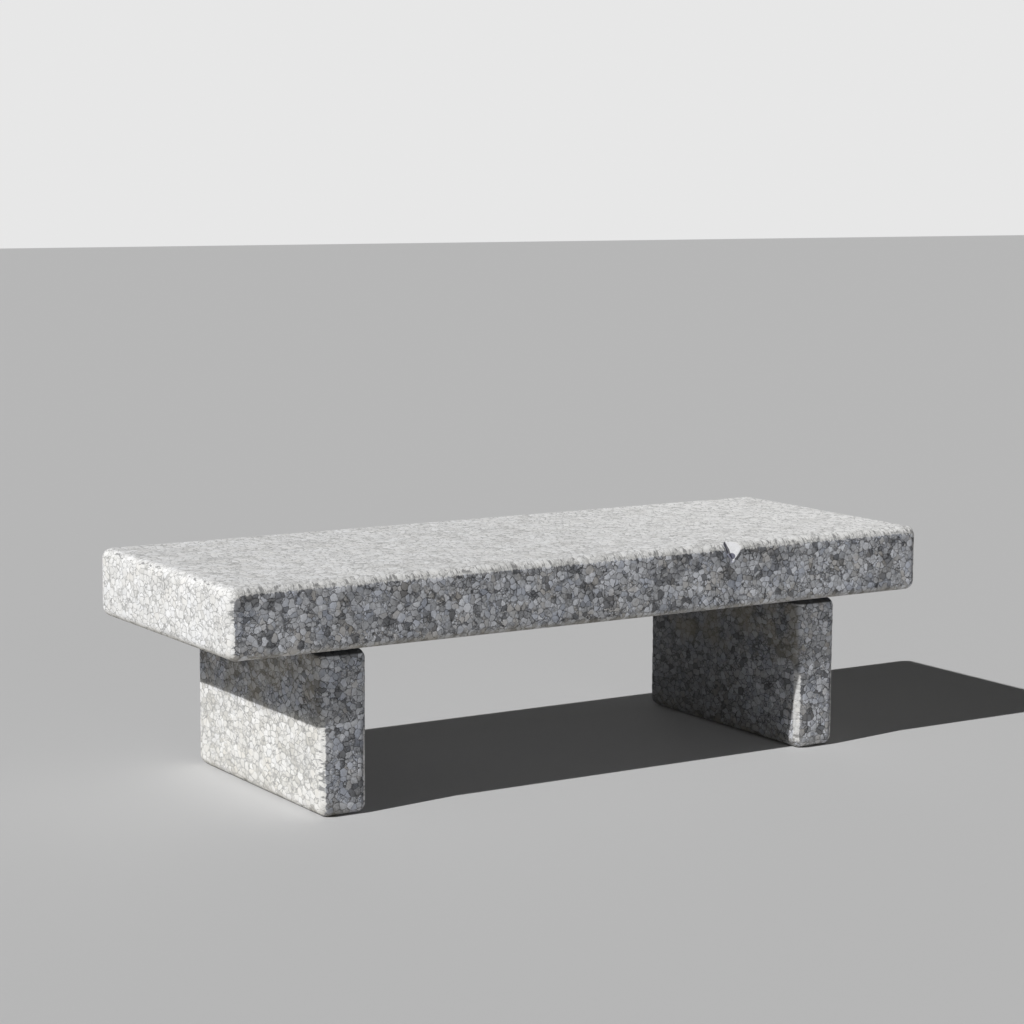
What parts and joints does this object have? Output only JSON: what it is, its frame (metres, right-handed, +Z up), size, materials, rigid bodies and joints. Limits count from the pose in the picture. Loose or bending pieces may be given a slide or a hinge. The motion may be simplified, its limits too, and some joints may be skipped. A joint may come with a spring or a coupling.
{
  "type": "garden bench",
  "caption": "Backless stone garden bench: a thick rounded seat slab, chipped on its front edge, bedded and dowelled on upright leg blocks.",
  "frame": {"origin": "on the ground, under the middle of the seat slab", "axes": "+Z up, +X along the seat, -Y towards the chipped front edge"},
  "size_m": [1.6, 0.58, 0.45],
  "materials": {
    "stone": "weathered light grey granite, tooled to packed grains, smoother on the seat",
    "bedding": "cured grey setting compound, matte",
    "stainless_steel": "ground bar",
    "resin": "cured anchoring resin",
    "setting_button": "black plastic"
  },
  "bodies": {
    "root": {"seat_slab": "stone", "left_leg": "stone", "right_leg": "stone", "left_bed": "bedding", "right_bed": "bedding", "left_front_dowel": "stainless_steel", "left_back_dowel": "stainless_steel", "right_front_dowel": "stainless_steel", "right_back_dowel": "stainless_steel", "left_front_resin": "resin", "left_back_resin": "resin", "right_front_resin": "resin", "right_back_resin": "resin", "left_front_outer_button": "setting_button", "left_front_inner_button": "setting_button", "left_back_outer_button": "setting_button", "left_back_inner_button": "setting_button", "right_front_outer_button": "setting_button", "right_front_inner_button": "setting_button", "right_back_outer_button": "setting_button", "right_back_inner_button": "setting_button"}
  },
  "joints": []
}
